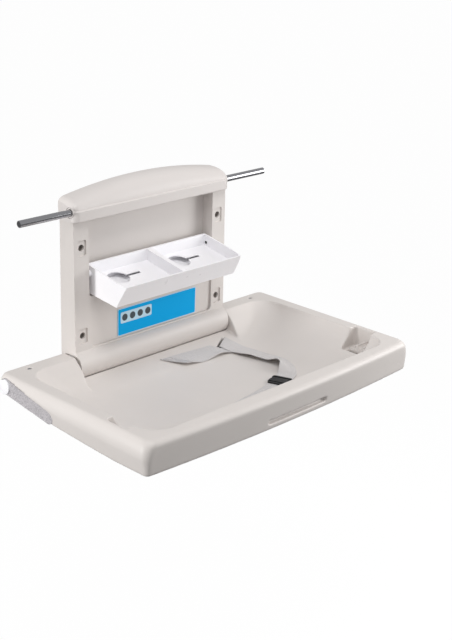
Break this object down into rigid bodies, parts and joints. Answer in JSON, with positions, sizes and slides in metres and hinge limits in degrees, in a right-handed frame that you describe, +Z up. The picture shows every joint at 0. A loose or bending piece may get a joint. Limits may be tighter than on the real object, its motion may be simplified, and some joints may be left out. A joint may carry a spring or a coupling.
{
  "type": "baby changing station",
  "caption": "Wall-hung horizontal changing station: folding concave bed on a hinge barrel, hood with latch rod, liner dispenser and belt.",
  "frame": {"origin": "on the wall plane, at the middle of the width, level with the top of the open bed's rim", "axes": "+X along the wall to the right seen from the room, +Y into the wall, +Z up"},
  "size_m": [0.8696, 0.5168, 0.493],
  "materials": {
    "cream": "satin moulded, fine grain",
    "pale_cream": "satin moulded",
    "white": "satin",
    "grey_panel": "granular",
    "chrome": "polished",
    "steel": "plain",
    "label": "smooth, no text",
    "black": "satin",
    "webbing": "woven"
  },
  "bodies": {
    "wall": {"wall_frame": "cream", "hood_cover": "pale_cream", "latch_rod": "chrome", "label_plate": "label", "mounting_plate_left": "steel", "rod_grommet_left": "cream", "barrel_bush_left": "white", "damper_left": "black", "mounting_plate_right": "steel", "rod_grommet_right": "cream", "barrel_bush_right": "white", "damper_right": "black"},
    "bed": {"bed": "cream", "hinge_axle": "steel", "end_cover_left": "grey_panel", "axle_cap_left": "white", "thrust_washer_left": "black", "axle_screw_left": "black", "latch_catch_left": "cream", "catch_screw_left": "black", "end_cover_right": "grey_panel", "axle_cap_right": "white", "thrust_washer_right": "black", "axle_screw_right": "black", "latch_catch_right": "cream", "catch_screw_right": "black", "belt_long": "webbing", "belt_tail": "webbing", "belt_front": "webbing", "buckle_tongue": "black", "buckle_socket": "black", "belt_keeper_rear": "black", "belt_keeper_front": "black"},
    "dispenser": {"dispenser_tray": "white", "dispenser_lid_left": "white", "dispenser_pin_left": "steel", "dispenser_lid_right": "white", "dispenser_pin_right": "steel"}
  },
  "joints": [
    {"name": "bed_fold", "type": "hinge", "parent": "wall", "child": "bed", "pos_m": [0, -0.035, -0.0255], "axis": [-1, 0, 0], "range_deg": [0, 90]},
    {"name": "dispenser_swing", "type": "hinge", "parent": "wall", "child": "dispenser", "pos_m": [0, -0.04, 0.188], "axis": [-1, 0, 0], "range_deg": [0, 101]}
  ],
  "couplings": [
    {"joint": "dispenser_swing", "follows": "bed_fold", "ratio": 1.1222}
  ]
}
